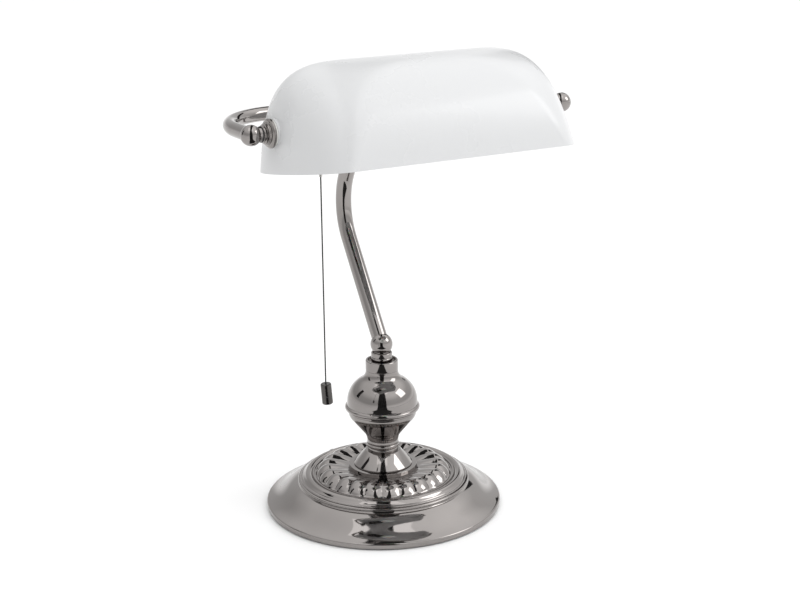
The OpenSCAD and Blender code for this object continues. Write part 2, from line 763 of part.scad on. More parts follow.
module centre_contact() {
  color("#c8a860") {
    inward(-bulb_tip) cylinder(r = 4.5, h = contact_t);
    inward(-(bulb_tip + contact_t)) cylinder(r = 2.3, h = insert_plate + 0.2);
  }
}

bulb_thread_r = sleeve_in - 0.3;
bulb_cap_l = sleeve_l + 1;
module bulb_cap() {
  color("#c9c9c6") left_spun(concat(
    [[0, bulb_tip], [4, bulb_tip], [5, bulb_tip - 1], [bulb_thread_r - 2, bulb_tip - 2.5]],
    [for (i = [0:4]) each [
      [bulb_thread_r - 1, bulb_tip - 3.5 - i * 3.6], [bulb_thread_r, bulb_tip - 5.3 - i * 3.6]]],
    [[bulb_thread_r - 1, bulb_tip - bulb_cap_l], [bulb_thread_r - 2, bulb_tip - bulb_cap_l],
     [bulb_thread_r - 2, bulb_tip - 5], [0, bulb_tip - 5]]
  ));
}

bulb_c = bulb_tip - bulb_cap_l - bulb_r - 4;
bulb_neck_r = bulb_thread_r - 2.2;
bulb_neck_a = asin((bulb_neck_r + 1) / bulb_r);
function globe(d) = concat(
  [[bulb_neck_r - d, bulb_tip - bulb_cap_l + 3], [bulb_neck_r - d, bulb_tip - bulb_cap_l - 0.4]],
  [for (i = [0:20]) let (a = bulb_neck_a + (180 - bulb_neck_a) * i / 20)
    [(bulb_r - d) * sin(a), bulb_c + (bulb_r - d) * cos(a)]]
);

module bulb_globe() {
  color("#f7f7f2") left_spun(concat(globe(0), backwards(globe(bulb_wall))));
}

// ---------- pull switch ----------

module switch_housing() {
  color("#2a2a2a") difference() {
    switch_axis(housing_bottom) cylinder(r = housing_r, h = housing_bottom - housing_top);
    switch_axis(housing_bottom - housing_floor)
      cylinder(r = plunger_head_r + 0.4, h = housing_bottom - housing_floor - housing_top - 1);
    switch_axis(housing_bottom + cut) cylinder(r = plunger_rod_r + 0.3, h = 4);
  }
}

module switch_bush() {
  color("#8d8783") switch_axis(housing_bottom + bush_t) difference() {
    cylinder(r1 = 3.4, r2 = 4.4, h = bush_t);
    translate([0, 0, -cut]) cylinder(r = plunger_rod_r + 0.3, h = bush_t + 2 * cut);
  }
}

module ring_wire(major, minor) {
  rotate_extrude() translate([major, 0]) circle(r = minor);
}

module switch_plunger() {
  color("#b8b2ac") {
    switch_axis(head_low) cylinder(r = plunger_head_r, h = plunger_head_t);
    switch_axis(eye_drop - eye_major) cylinder(r = plunger_rod_r, h = eye_drop - eye_major - head_low + 0.01);
    switch_axis(eye_drop) rotate([90, 0, 0]) ring_wire(eye_major, eye_minor);
  }
}

// Return spring: a wire swept along a helix between the housing floor and the plunger's head
spring_r = 3.4;
wire_r = 0.35;
spring_turns = 7;
SPRING_STEPS = 14;
spring_low = housing_bottom - housing_floor - wire_r - 0.05;
spring_high = head_low + wire_r + 0.05;
module return_spring() {
  n = spring_turns * SPRING_STEPS;
  points = [for (i = [0:n]) for (k = [0:5]) let (a = i * 360 / SPRING_STEPS, b = k * 60)
    [(spring_r + wire_r * cos(b)) * cos(a), (spring_r + wire_r * cos(b)) * sin(a),
     (spring_low - spring_high) * i / n + wire_r * sin(b)]];
  faces = concat(
    [[for (k = [5:-1:0]) k]],
    [for (i = [0:n - 1]) for (k = [0:5]) let (k2 = (k + 1) % 6)
      each [[i * 6 + k, i * 6 + k2, i * 6 + 6 + k2], [i * 6 + k, i * 6 + 6 + k2, i * 6 + 6 + k]]],
    [[for (k = [0:5]) n * 6 + k]]
  );
  color("#b8b2ac") switch_axis(spring_low) polyhedron(points, faces);
}

module cord_link() {
  color("#b8b2ac") switch_axis(link_drop) rotate([0, 90, 0]) ring_wire(eye_major, link_minor);
}

module cord_ferrule() {
  color("#b8b2ac") difference() {
    union() {
      switch_axis(swing_side_drop) translate([0, 0.6, 0]) rotate([90, 0, 0]) cylinder(r = 1.7, h = 1.2);
      switch_axis(ferrule_low) cylinder(r = 1.2, h = ferrule_low - swing_side_drop - 0.9);
    }
    switch_axis(swing_side_drop) translate([0, 2, 0]) rotate([90, 0, 0])
      cylinder(r = link_minor + free_gap, h = 4);
    switch_axis(ferrule_low + cut) cylinder(r = cord_r, h = 2 + cut);
  }
}

// ---------- pull cord ----------

// Rings of a round cord along the route, each stretch cut into equal steps
function stretch(a, b) = let (n = max(1, round(norm(b - a) / cord_ring_step)))
  [for (i = [0:n - 1]) a + (b - a) * i / n];
function route_points(r) = concat(
  [for (k = [0:len(r) - 2]) each stretch(r[k], r[k + 1])], [r[len(r) - 1]]);

module pull_cord() {
  line = route_points(CORD_ROUTE);
  n = len(line);
  points = [for (p = line) for (k = [0:7]) p + cord_r * [cos(k * 45), sin(k * 45), 0]];
  faces = concat(
    [[for (k = [0:7]) k]],
    [for (i = [0:n - 2]) for (k = [0:7]) let (k2 = (k + 1) % 8)
      each [[i * 8 + k, i * 8 + 8 + k2, i * 8 + k2], [i * 8 + k, i * 8 + 8 + k, i * 8 + 8 + k2]]],
    [[for (k = [7:-1:0]) (n - 1) * 8 + k]]
  );
  color("#1a1a1a") polyhedron(points, faces);
}

// The weight hangs from its top, a little askew, towards the right
module at_weight() {
  translate([-cord_x, pivot_y, cord_end_z])
    rotate([0, 0, weight_turn]) rotate([0, -weight_lean, 0]) children();
}

module cord_weight() {
  color("#55504d") at_weight() difference() {
    translate([0, 0, -weight_l + 0.2]) spun([
      [0, 0], [weight_r - 0.5, 0], [weight_r, 0.5], [weight_r, weight_l - 0.5],
      [weight_r - 0.5, weight_l], [0, weight_l]
    ]);
    cylinder(r = cord_r + 0.3, h = 2);
    translate([0, 0, -weight_l * 0.6]) rotate([90, 0, 0])
      translate([0, 0, -cut]) cylinder(r = 0.7, h = weight_d);
  }
}

module weight_pin() {
  color("#2a2624") at_weight() translate([0, 0, -weight_l * 0.6]) rotate([90, 0, 0])
    translate([0, 0, -cut]) cylinder(r = 0.65, h = weight_r + cut - 0.1);
}

felt_pad();
base_weight();
base_cover();
cord_gland();
base_nut();
base_washer();
fluted_ring();
foot_cone();
neck_ring();
vase_lower();
vase_upper();
vase_cap();
collar_ring();
threaded_rod();
ball_knuckle();
grub_screw();
stem_tube();
yoke_hub();
yoke_tube();
ball_end_left();
ball_end_right();
stud_left();
stud_right();
friction_washers();
stud_nuts();
holder_cap();
holder_shell();
holder_insert();
screw_sleeve();
centre_contact();
bulb_cap();
bulb_globe();
switch_housing();
switch_bush();
return_spring();
glass_shade();
finial_left();
finial_right();
outer_washers();
inner_washers();
ring_nuts();
switch_plunger();
cord_link();
cord_ferrule();
pull_cord();
cord_weight();
weight_pin();
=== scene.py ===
"""Banker desk lamp: looks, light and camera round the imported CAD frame. Metres, +Z up, -Y the front."""
import json
import math

import bmesh
import bpy
from mathutils import Matrix, Vector

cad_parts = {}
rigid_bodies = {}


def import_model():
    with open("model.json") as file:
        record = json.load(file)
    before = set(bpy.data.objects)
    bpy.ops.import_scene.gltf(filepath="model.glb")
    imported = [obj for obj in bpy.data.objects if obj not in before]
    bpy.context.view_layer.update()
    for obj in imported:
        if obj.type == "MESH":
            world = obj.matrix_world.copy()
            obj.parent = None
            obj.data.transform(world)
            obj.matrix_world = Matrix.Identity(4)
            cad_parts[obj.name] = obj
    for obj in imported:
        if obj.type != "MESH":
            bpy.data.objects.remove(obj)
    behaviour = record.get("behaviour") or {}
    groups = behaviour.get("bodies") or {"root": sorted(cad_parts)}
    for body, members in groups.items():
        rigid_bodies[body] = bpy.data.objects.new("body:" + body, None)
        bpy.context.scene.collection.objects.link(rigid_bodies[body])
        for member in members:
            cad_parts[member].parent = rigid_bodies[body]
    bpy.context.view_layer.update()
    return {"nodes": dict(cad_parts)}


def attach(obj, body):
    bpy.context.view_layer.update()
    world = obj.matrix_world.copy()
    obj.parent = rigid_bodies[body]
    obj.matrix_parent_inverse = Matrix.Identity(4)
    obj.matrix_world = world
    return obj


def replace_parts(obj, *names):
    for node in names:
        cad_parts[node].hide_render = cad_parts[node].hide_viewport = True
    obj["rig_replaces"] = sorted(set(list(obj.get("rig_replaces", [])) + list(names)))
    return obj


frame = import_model()
nodes = frame["nodes"]
MM = 0.001

# ---------- camera ----------

CAMERA_AT = (-0.53236, -0.97425, 0.49069)
TURN, DOWN, ROLL, LENS = -29.39, 16.51, -0.58, 69.77
cam_data = bpy.data.cameras.new("camera")
cam = bpy.data.objects.new("camera", cam_data)
bpy.context.scene.collection.objects.link(cam)
look = (Matrix.Rotation(math.radians(TURN), 3, "Z") @ Matrix.Rotation(math.radians(90 - DOWN), 3, "X")
        @ Matrix.Rotation(math.radians(ROLL), 3, "Z"))
cam.matrix_world = Matrix.Translation(CAMERA_AT) @ look.to_4x4()
cam_data.sensor_width = 36
cam_data.lens = LENS
cam_data.clip_start = 0.02
cam_data.clip_end = 60
bpy.context.scene.camera = cam


# ---------- mesh helpers ----------

def add(name, verts, faces, sharp=(), smooth=True):
    """A mesh object from points in mm; the sharp argument is not used"""
    mesh = bpy.data.meshes.new(name)
    mesh.from_pydata([tuple(c * MM for c in v) for v in verts], [], faces)
    mesh.update()
    for p in mesh.polygons:
        p.use_smooth = smooth
    obj = bpy.data.objects.new(name, mesh)
    bpy.context.scene.collection.objects.link(obj)
    return obj


def sharpen(obj, degrees):
    """Marks edges sharp where the faces turn by more than that"""
    bm = bmesh.new()
    bm.from_mesh(obj.data)
    bmesh.ops.recalc_face_normals(bm, faces=bm.faces)
    for e in bm.edges:
        e.smooth = not (len(e.link_faces) == 2 and e.calc_face_angle(0) > math.radians(degrees))
    bm.to_mesh(obj.data)
    bm.free()


def join(objs):
    """One object of several meshes"""
    bm = bmesh.new()
    for o in objs:
        bm.from_mesh(o.data)
    first = objs[0]
    bm.to_mesh(first.data)
    bm.free()
    for o in objs[1:]:
        bpy.data.objects.remove(o)
    return first


def stand_for(obj, node, body="stand"):
    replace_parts(obj, node)
    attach(obj, body)
    return obj


def corner_cut(points, soft):
    """The outline with each corner cut back by up to soft mm, for a small polished edge"""
    out = []
    n = len(points)
    for i, p in enumerate(points):
        p = Vector(p)
        a, b = Vector(points[i - 1]) - p, Vector(points[(i + 1) % n]) - p
        turn = math.pi - a.angle(b) if a.length > 1e-6 and b.length > 1e-6 else 0
        if turn < math.radians(28):
            out.append(tuple(p))
            continue
        k = min(soft, a.length * 0.35, b.length * 0.35)
        p0, p1 = p + a.normalized() * k, p + b.normalized() * k
        for s in (0, 0.33, 0.67, 1):
            q = p0 * (1 - s) ** 2 + p * 2 * s * (1 - s) + p1 * s ** 2
            out.append(tuple(q))
    return out


def lathe(name, outline, turns=192, soft=0.25, axis="Z", at=(0, 0, 0), degrees=24):
    """A closed outline of (radius, height) in mm, spun about an axis through at"""
    outline = corner_cut(outline, soft) if soft else list(outline)
    n = len(outline)
    verts, faces = [], []
    for j in range(turns):
        a = 2 * math.pi * j / turns
        for r, z in outline:
            u, v = r * math.cos(a), r * math.sin(a)
            p = {"Z": (u, v, z), "X": (z, u, v), "-X": (-z, v, u), "Y": (v, z, u)}[axis]
            verts.append(tuple(p[i] + at[i] for i in range(3)))
    for j in range(turns):
        k = (j + 1) % turns
        for i in range(n):
            m = (i + 1) % n
            faces.append((j * n + i, k * n + i, k * n + m, j * n + m))
    obj = add(name, verts, faces)
    sharpen(obj, degrees)
    return obj


def sweep(name, path, radius, sides=48, capped=True):
    """A round bar of that radius along a path in mm"""
    verts, faces = [], []
    path = [Vector(p) for p in path]
    up = None
    for i, p in enumerate(path):
        t = (path[min(i + 1, len(path) - 1)] - path[max(i - 1, 0)]).normalized()
        if up is None:
            up = t.orthogonal().normalized()
        up = (up - t * up.dot(t)).normalized()
        side = t.cross(up)
        for k in range(sides):
            a = 2 * math.pi * k / sides
            verts.append(tuple(p + radius * (up * math.cos(a) + side * math.sin(a))))
    for i in range(len(path) - 1):
        for k in range(sides):
            m = (k + 1) % sides
            faces.append((i * sides + k, i * sides + m, (i + 1) * sides + m, (i + 1) * sides + k))
    if capped:
        faces.append(tuple(range(sides))[::-1])
        faces.append(tuple((len(path) - 1) * sides + k for k in range(sides)))
    obj = add(name, verts, faces)
    sharpen(obj, 40)
    return obj


def arc(c, d, r, a0, a1, n):
    """Points of an arc about (c, d), in degrees"""
    return [(c + r * math.cos(math.radians(a0 + (a1 - a0) * i / n)),
             d + r * math.sin(math.radians(a0 + (a1 - a0) * i / n))) for i in range(n + 1)]


# ---------- sizes in mm, as in the CAD ----------

BASE_R, STEP_R, RING_R = 90, 65.7, 52.5
LIP_Z, LIP_H, SKIRT_Z, DECK_Z, COVER_T = 1, 2.7, 18, 24, 1
FLUTE_COUNT, FLUTE_H = 24, 8
ROD_HOLE = 5.05
CONE_Z, NECK_Z, BOWL_Z, BELL_Z, CAP_Z, CAP_TOP = 32.4, 42.9, 48.9, 80.2, 107.4, 115.4
NECK_R, VASE_R, VASE_T = 12.3, 28.5, 1.5
KNUCKLE_Z, KNUCKLE_R = 127.4, 8.4
PIVOT_Y, PIVOT_Z = -52, 306.4
LEAN, STRAIGHT, BEND_R, FORE, UPPER_L = 34.5, 87, 47, 27.5237, 66.485
BAR_BACK, YOKE_BEND, YOKE_R, BALL_X, HUB_R = 21.5, 50, 5, 123.7, 9.605
SHADE_L, SHADE_W, SHADE_H, PIVOT_UP, GLASS_T, TIP = 217, 125, 72, 27.5, 3, 9
CORD_X, CORD_TOP, CORD_END, CORD_R = 73.5, 275.3, 125, 0.5
STEM_R, TUBE_SEAT, ARM_SEAT, FIT_GAP = 6, 2.65, 4.3, 0.05
LAND_R, GLASS_HOLE, LAND_IN, LAND_OUT = 9.5, 6.4, 102, 108

# ---------- pull cord ----------

CORD_ROUTE = [(-CORD_X, PIVOT_Y, CORD_TOP), (-CORD_X, PIVOT_Y, 230), (-CORD_X, PIVOT_Y, 190),
              (-CORD_X, PIVOT_Y, CORD_END)]


def cord_line(route, step):
    out = []
    for a, b in zip(route, route[1:]):
        n = max(1, round((Vector(b) - Vector(a)).length / step))
        out += [tuple(Vector(a).lerp(Vector(b), i / n)) for i in range(n)]
    return out + [route[-1]]


cord_path = cord_line(CORD_ROUTE, 2.5)
cord = stand_for(sweep("braided_cord", cord_path, CORD_R * 0.98, 16), "pull_cord", "pull")


# ---------- base ----------

def skirt_point(s):
    r0, z0 = BASE_R - 0.9, LIP_Z + LIP_H + 1.2
    return (r0 + (STEP_R - r0) * s, z0 + (SKIRT_Z - z0) * (s - 0.06 * math.sin(2 * math.pi * s)))


def cover_edge(inset, drop):
    s = [(r - inset, z - drop) for r, z in (skirt_point(i / 48) for i in range(1, 49))]
    return ([(BASE_R - inset, LIP_Z), (BASE_R - inset, LIP_Z + LIP_H)]
            + arc(BASE_R - 1.4, LIP_Z + LIP_H - drop, 1.4 - inset, 10, 60, 8) + s
            + arc(STEP_R - 1.1, SKIRT_Z + 2.2 - drop, 1.1 - inset, -70, 80, 14)
            + arc(STEP_R - 2.6, SKIRT_Z + 3.7 - drop, 0.7, -30, 110, 10)
            + arc(STEP_R - 5, SKIRT_Z + 3.9 - drop, 1.6, 30, 60, 4)
            + arc(RING_R + 5.2, DECK_Z - 1.5 - drop, 3.2, 35, 145, 24)
            + [(RING_R + 2, DECK_Z - drop), (RING_R + 1.8, DECK_Z + 0.9 - drop),
               (RING_R + 0.7, DECK_Z + 0.9 - drop), (RING_R + 0.5, DECK_Z - drop), (ROD_HOLE, DECK_Z - drop)])


stand_for(lathe("base_shell", cover_edge(0, 0) + cover_edge(COVER_T, COVER_T)[::-1], 256, 0.12), "base_cover")


# Shares of the ring's width and height, with how much a valley dips and draws in, in mm
FLUTE_IN = 26.1
FLUTE_OUTLINE = [
    (0, 0, 0, 0), (0, 0.62, 0, 0), (0.125, 0.72, 0.3, 0), (0.335, 0.87, 0.7, 0), (0.5, 0.96, 0.9, 0),
    (0.62, 1, 1.1, 0), (0.75, 0.86, 1.2, 0.3), (0.86, 0.6, 1.2, 0.8), (0.93, 0.34, 0.9, 1.2),
    (0.965, 0.14, 0.3, 1), (0.983, 0.05, 0, 0), (0.983, 0, 0, 0)]


def flute_section(k):
    """The ring's section where k is 1 on a flute's crest and 0 in its valley"""
    return [(FLUTE_IN + u * (RING_R - FLUTE_IN) - draw * (1 - k), DECK_Z + v * FLUTE_H - dip * (1 - k))
            for u, v, dip, draw in FLUTE_OUTLINE]


def smooth_chain(points, times):
    """A Catmull-Rom curve through the points, for a rounded outline"""
    out = []
    n = len(points)
    for i in range(n - 1):
        p0, p1 = Vector(points[max(i - 1, 0)]), Vector(points[i])
        p2, p3 = Vector(points[i + 1]), Vector(points[min(i + 2, n - 1)])
        for s in range(times):
            t = s / times
            out.append(tuple(0.5 * ((2 * p1) + (p2 - p0) * t + (2 * p0 - 5 * p1 + 4 * p2 - p3) * t * t
                                    + (3 * p1 - p0 - 3 * p2 + p3) * t ** 3)))
    return out + [tuple(points[-1])]


def fluted(name):
    steps = 16
    turns = FLUTE_COUNT * steps
    verts, faces = [], []
    for j in range(turns):
        s = (j % steps) / steps * 2 - 1
        k = 1 - s * s
        raw = flute_section(k)
        section = raw[:1] + smooth_chain(raw[1:10], 4) + raw[10:]
        n = len(section)
        a = 2 * math.pi * j / turns
        verts += [(r * math.cos(a) * 0.999, r * math.sin(a) * 0.999, min(z, DECK_Z + FLUTE_H)) for r, z in section]
    for j in range(turns):
        k = (j + 1) % turns
        for i in range(n):
            m = (i + 1) % n
            faces.append((j * n + i, k * n + i, k * n + m, j * n + m))
    obj = add(name, verts, faces)
    sharpen(obj, 32)
    return obj


stand_for(fluted("flutes"), "fluted_ring")

cone_low, cone_top = 22.5, 14
stand_for(lathe("foot", [
    (ROD_HOLE, DECK_Z), (26, DECK_Z), (26, CONE_Z - 0.6), (cone_low - 0.8, CONE_Z - 0.6),
    (cone_low - 0.8, CONE_Z), (cone_low, CONE_Z + 0.3), (cone_top, NECK_Z - 0.6),
    (cone_top - 0.8, NECK_Z), (ROD_HOLE, NECK_Z)]), "foot_cone")
neck_h = BOWL_Z - NECK_Z
stand_for(lathe("neck", [
    (ROD_HOLE, NECK_Z), (NECK_R - 0.6, NECK_Z), (NECK_R - 0.6, NECK_Z + neck_h * 0.45),
    (NECK_R - 1, NECK_Z + neck_h * 0.45 + 0.2), (NECK_R, NECK_Z + neck_h * 0.45 + 0.5),
    (NECK_R + 0.1, BOWL_Z - 0.6), (NECK_R - 0.5, BOWL_Z), (ROD_HOLE, BOWL_Z)]), "neck_ring")


# ---------- vase ----------

def flare(r0, z0, r1, z1, bend, share, n):
    """An arc, a straight run and an arc back, from (r0, z0) to (r1, z1)"""
    dr, dz = abs(r1 - r0), z1 - z0
    g = 1 if r1 > r0 else -1
    a = math.radians(bend * math.degrees(math.atan(dr / dz)))
    both = (dz * math.sin(a) - dr * math.cos(a)) / (1 - math.cos(a))
    ra, rb = both * share, both * (1 - share)
    low = [(r0 + g * ra * (1 - math.cos(a * i / n)), z0 + ra * math.sin(a * i / n)) for i in range(n + 1)]
    high = [(r1 - g * rb * (1 - math.cos(a * (1 - i / n))), z1 - rb * math.sin(a * (1 - i / n)))
            for i in range(n + 1)]
    return low + high


BOWL_FOOT, BOWL_TOP, NECK_RISE, CURVE_Z = NECK_R - 0.3, VASE_R - 2.5, 2, BELL_Z - 5.5


def bowl_edge(inset):
    start = [] if inset else [(BOWL_FOOT, BOWL_Z)]
    return (start + flare(BOWL_FOOT - inset, BOWL_Z + NECK_RISE, BOWL_TOP - inset, CURVE_Z, 1.31, 0.54, 24)
            + [(BOWL_TOP + 0.4 - inset, CURVE_Z + 0.3), (BOWL_TOP + 0.4 - inset, CURVE_Z + 1.4),
               (VASE_R - 1.4 - inset, CURVE_Z + 1.9)]
            + arc(VASE_R - 1.9 - inset, BELL_Z - 2.2, 1.9, -45, 60, 14) + [(VASE_R - 1.6 - inset, BELL_Z)])


def bell_edge(inset):
    return ([(VASE_R - 1.6 - inset, BELL_Z), (VASE_R - 1.6 - inset, BELL_Z + 0.8)]
            + flare(VASE_R - 1.7 - inset, BELL_Z + 2, NECK_R - inset, CAP_Z - 0.5 - inset, 1.9, 0.73, 28)
            + [(NECK_R - inset, CAP_Z - inset)])


stand_for(lathe("vase_bowl", [(ROD_HOLE, BOWL_Z)] + bowl_edge(0) + bowl_edge(VASE_T)[::-1]
                       + [(BOWL_FOOT - VASE_T, BOWL_Z + VASE_T), (ROD_HOLE, BOWL_Z + VASE_T)], soft=0.15), "vase_lower")
stand_for(lathe("vase_bell", bell_edge(0) + [(ROD_HOLE, CAP_Z), (ROD_HOLE, CAP_Z - VASE_T)]
                       + bell_edge(VASE_T)[::-1], soft=0.15), "vase_upper")
stand_for(lathe("vase_top", [
    (ROD_HOLE, CAP_Z), (NECK_R, CAP_Z), (NECK_R + 0.1, CAP_Z + 1), (NECK_R, CAP_TOP - 0.6),
    (NECK_R - 0.5, CAP_TOP), (NECK_R - 1.6, CAP_TOP), (NECK_R - 2, CAP_TOP - 2.2),
    (ROD_HOLE, CAP_TOP - 2.2)]), "vase_cap")
collar_r, ball_neck, collar_top = KNUCKLE_R - 0.4, KNUCKLE_R - 1.9, 121.38
stand_for(lathe("collar", [
    (ball_neck + FIT_GAP, CAP_TOP - 2.2), (collar_r - 0.6, CAP_TOP - 2.2), (collar_r, CAP_TOP - 1.6),
    (collar_r, CAP_TOP + 1.6), (collar_r - 0.4, CAP_TOP + 2), (collar_r, CAP_TOP + 2.4),
    (collar_r, collar_top - 0.5), (collar_r - 0.5, collar_top), (ball_neck + 0.5, collar_top),
    (ball_neck + FIT_GAP, collar_top - 0.9)]), "collar_ring")

# ---------- stem and yoke ----------

lean, fore = math.radians(LEAN), math.radians(FORE)
start = Vector((0, STRAIGHT * math.sin(lean), KNUCKLE_Z + STRAIGHT * math.cos(lean)))
centre = start - BEND_R * Vector((0, math.cos(lean), -math.sin(lean)))
low = Vector((0, 0, KNUCKLE_Z)) + TUBE_SEAT * Vector((0, math.sin(lean), math.cos(lean)))
stem_path = [low, low.lerp(start, 0.5)]
for i in range(41):
    a = -lean + (lean + fore) * i / 40
    stem_path.append(centre + BEND_R * Vector((0, math.cos(a), math.sin(a))))
top_dir = Vector((0, -math.sin(fore), math.cos(fore)))
stem_path.append(stem_path[-1] + top_dir * (UPPER_L - YOKE_R - 1))
stand_for(sweep("stem", stem_path, STEM_R, 64), "stem_tube")

yoke_path = [Vector((-BALL_X, PIVOT_Y + ARM_SEAT, PIVOT_Z))]
for side in (-1, 1):
    c = Vector((side * (BALL_X - YOKE_BEND), BAR_BACK - YOKE_BEND, PIVOT_Z))
    ring = [c + YOKE_BEND * Vector((side * math.cos(math.radians(a)), math.sin(math.radians(a)), 0))
            for a in [90 * i / 36 for i in range(37)]]
    yoke_path += ring if side < 0 else ring[::-1]
yoke_path.append(Vector((BALL_X, PIVOT_Y + ARM_SEAT, PIVOT_Z)))
stand_for(sweep("yoke", yoke_path, YOKE_R, 56), "yoke_tube")


def sphere_outline(r, hole, n=48):
    """Half section of a ball bored through along its axis"""
    a0 = math.degrees(math.asin(hole / r))
    return [(r * math.sin(math.radians(a0 + (180 - 2 * a0) * i / n)),
             -r * math.cos(math.radians(a0 + (180 - 2 * a0) * i / n))) for i in range(n + 1)]


stand_for(lathe("hub", sphere_outline(HUB_R, YOKE_R + FIT_GAP), 96, 0, "X", (0, BAR_BACK, PIVOT_Z), 40), "yoke_hub")

# ---------- shade ----------

PIVOT = Vector((0, PIVOT_Y, PIVOT_Z))


def half_l(t, d):
    return SHADE_L / 2 - d - 0.02 * SHADE_H * t - 65 * (1 - (1 - t ** 3.6) ** (1 / 3.6))


def half_w(t, d):
    return (SHADE_W / 2 - d) * (1 - t ** 2.15) ** (1 / 2.15)


def shade_ring(t, d, count):
    length, w = half_l(t, d), half_w(t, d)
    e = min(27 - d * 0.3 + 38 * t, length)
    z = (SHADE_H - d) * t - PIVOT_UP
    out = []
    for j in range(count):
        a = 2 * math.pi * (j + 0.5) / count
        g = 1 if math.cos(a) > 0 else -1
        out.append((g * (length - e) + e * math.cos(a), w * math.sin(a), z))
    return out


def glass_shell(name):
    """Outer and inner skins joined by a rounded rim"""
    count, levels, inset = 240, 44, 0.2
    crown = 88.6
    rings = []
    heights = [math.sin(math.radians(crown * i / levels)) for i in range(levels + 1)]
    for t in reversed(heights):
        rings.append(shade_ring(t, inset, count))
    for k in range(1, 8):
        b = math.pi * k / 8
        d = inset + (GLASS_T - 2 * inset) * (1 - math.cos(b)) / 2
        lip = shade_ring(0, d, count)
        rings.append([(x, y, z + 0.9 * (1 - math.sin(b))) for x, y, z in lip])
    for t in heights:
        rings.append(shade_ring(t, GLASS_T - inset, count))
    verts = [p for ring in rings for p in ring]
    faces = []
    for i in range(len(rings) - 1):
        for j in range(count):
            m = (j + 1) % count
            faces.append((i * count + j, (i + 1) * count + j, (i + 1) * count + m, i * count + m))
    faces.append(tuple(range(count)))
    faces.append(tuple((len(rings) - 1) * count + j for j in range(count))[::-1])
    obj = add(name, verts, faces)
    bm = bmesh.new()
    bm.from_mesh(obj.data)
    bmesh.ops.recalc_face_normals(bm, faces=bm.faces)
    bm.to_mesh(obj.data)
    bm.free()
    return obj


def drill(obj, radius, length):
    """Cuts a round hole along the pivot line through both ends"""
    bm = bmesh.new()
    bmesh.ops.create_cone(bm, cap_ends=True, segments=96, radius1=radius * MM, radius2=radius * MM,
                          depth=length * MM, matrix=Matrix.Rotation(math.pi / 2, 4, "Y"))
    mesh = bpy.data.meshes.new("drill")
    bm.to_mesh(mesh)
    bm.free()
    tool = bpy.data.objects.new("drill", mesh)
    bpy.context.scene.collection.objects.link(tool)
    mod = obj.modifiers.new("holes", "BOOLEAN")
    mod.operation = "DIFFERENCE"
    mod.solver = "EXACT"
    mod.object = tool
    bpy.context.view_layer.update()
    done = bpy.data.meshes.new_from_object(obj.evaluated_get(bpy.context.evaluated_depsgraph_get()))
    obj.modifiers.clear()
    obj.data = done
    bpy.data.objects.remove(tool)


glass = glass_shell("opal_shade")
drill(glass, GLASS_HOLE, SHADE_L + 20)
for side in (1, -1):
    land = lathe("land", [(GLASS_HOLE, LAND_IN), (LAND_R, LAND_IN), (LAND_R, LAND_OUT), (GLASS_HOLE, LAND_OUT)],
                 96, 0.15, "X" if side > 0 else "-X")
    glass = join([glass, land])
glass.data.transform(Matrix.Translation(PIVOT * MM) @ Matrix.Rotation(math.radians(-TIP), 4, "X"))
for p in glass.data.polygons:
    p.use_smooth = True
sharpen(glass, 35)
stand_for(glass, "glass_shade", "shade")

# ---------- finials ----------

STUD_R, FLANGE_R, FLANGE_X, FINIAL_X, BARREL_R, BARREL_END = 4, 10, 109, 116.2, 6, 96
STEPS = [(0.867, 0), (1, 0.08), (1, 0.28), (0.8, 0.42), (0.617, 0.44), (0.617, 0.51), (0.567, 0.54),
         (0.567, 0.64), (0.4, 0.68), (0.467, 0.72), (0.433, 0.81), (0.25, 0.85), (0.25, 0.93), (0.2, 1)]
finial_outline = ([(STUD_R + FIT_GAP, BARREL_END), (BARREL_R, BARREL_END), (BARREL_R, FLANGE_X)]
                  + [(STUD_R + (FLANGE_R - STUD_R) * q, FLANGE_X + (FINIAL_X - FLANGE_X) * x) for q, x in STEPS]
                  + [(STUD_R + FIT_GAP, FINIAL_X)])
for side, axis in (("left", "-X"), ("right", "X")):
    stand_for(lathe("turned_finial_" + side, finial_outline, 128, 0.14, axis, (0, PIVOT_Y, PIVOT_Z)),
              "finial_" + side, "shade")


# ---------- materials ----------

def tree(name):
    mat = bpy.data.materials.new(name)
    mat.use_nodes = True
    t = mat.node_tree
    t.nodes.clear()
    out = t.nodes.new("ShaderNodeOutputMaterial")
    shader = t.nodes.new("ShaderNodeBsdfPrincipled")
    t.links.new(shader.outputs[0], out.inputs[0])
    where = t.nodes.new("ShaderNodeTexCoord")
    return mat, t, shader, where.outputs["Object"]


def noise(t, where, scale, detail=3.0, stretch=None):
    if stretch:
        m = t.nodes.new("ShaderNodeMapping")
        m.inputs["Scale"].default_value = stretch
        t.links.new(where, m.inputs["Vector"])
        where = m.outputs[0]
    n = t.nodes.new("ShaderNodeTexNoise")
    n.inputs["Scale"].default_value = scale
    n.inputs["Detail"].default_value = detail
    t.links.new(where, n.inputs["Vector"])
    return n.outputs["Fac"]


def ramp(t, fac, a, b, lo=0.3, hi=0.7):
    r = t.nodes.new("ShaderNodeValToRGB")
    r.color_ramp.elements[0].position = lo
    r.color_ramp.elements[0].color = (*a, 1)
    r.color_ramp.elements[1].position = hi
    r.color_ramp.elements[1].color = (*b, 1)
    t.links.new(fac, r.inputs[0])
    return r.outputs[0]


def span(t, fac, lo, hi):
    m = t.nodes.new("ShaderNodeMapRange")
    m.inputs["From Min"].default_value = 0.3
    m.inputs["From Max"].default_value = 0.7
    m.inputs["To Min"].default_value = lo
    m.inputs["To Max"].default_value = hi
    t.links.new(fac, m.inputs["Value"])
    return m.outputs[0]


